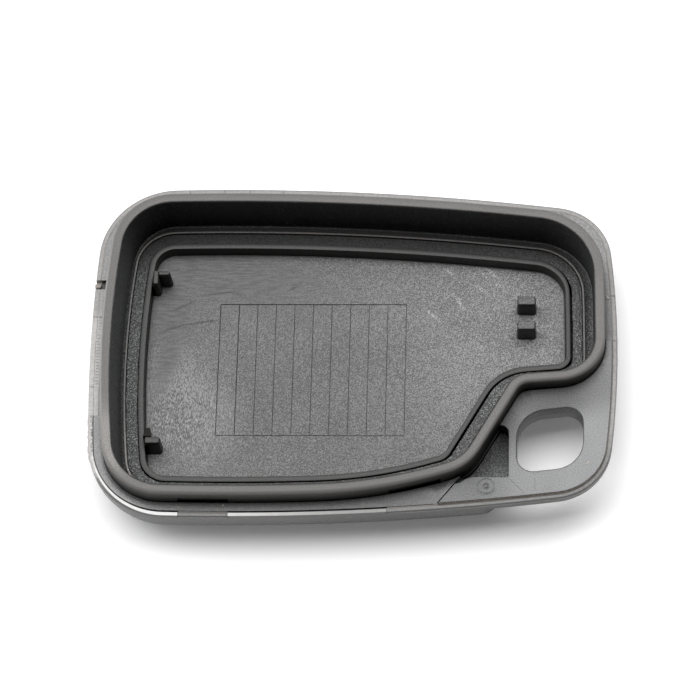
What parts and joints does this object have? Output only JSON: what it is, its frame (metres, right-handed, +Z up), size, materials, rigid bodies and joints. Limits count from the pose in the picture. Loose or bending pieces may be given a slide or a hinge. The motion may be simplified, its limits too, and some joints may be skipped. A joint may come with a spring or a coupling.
{
  "type": "key fob shell half",
  "caption": "Rear half of a card-shaped key fob shell: shallow tub with a raised wall, a ribbed floor panel and a key-ring ear.",
  "frame": {"origin": "middle of the face that the shell rests on", "axes": "+X along the length towards the key-ring end, +Y towards the back long side, +Z up, out of the open side"},
  "size_m": [0.0698, 0.0484, 0.0104],
  "materials": {
    "cover": "satin moulded plastic",
    "flange": "fine spark-eroded grain",
    "ear": "fine spark-eroded grain",
    "wall": "smooth satin",
    "panel": "grained, rubbed smooth in places",
    "trim": "bright polished"
  },
  "bodies": {
    "shell": {"outer_cover": "cover", "rim_flange": "flange", "ear_plate": "ear", "edge_trim_corner": "trim", "edge_trim_front": "trim"},
    "wall": {"cavity_wall": "wall"},
    "panel": {"floor_panel": "panel"}
  },
  "joints": [
    {"name": "wall_lift", "type": "slide", "parent": "shell", "child": "wall", "axis": [0, 0, 1], "range_m": [0, 0.015]},
    {"name": "panel_lift", "type": "slide", "parent": "shell", "child": "panel", "axis": [0, 0, 1], "range_m": [0, 0.025]}
  ]
}
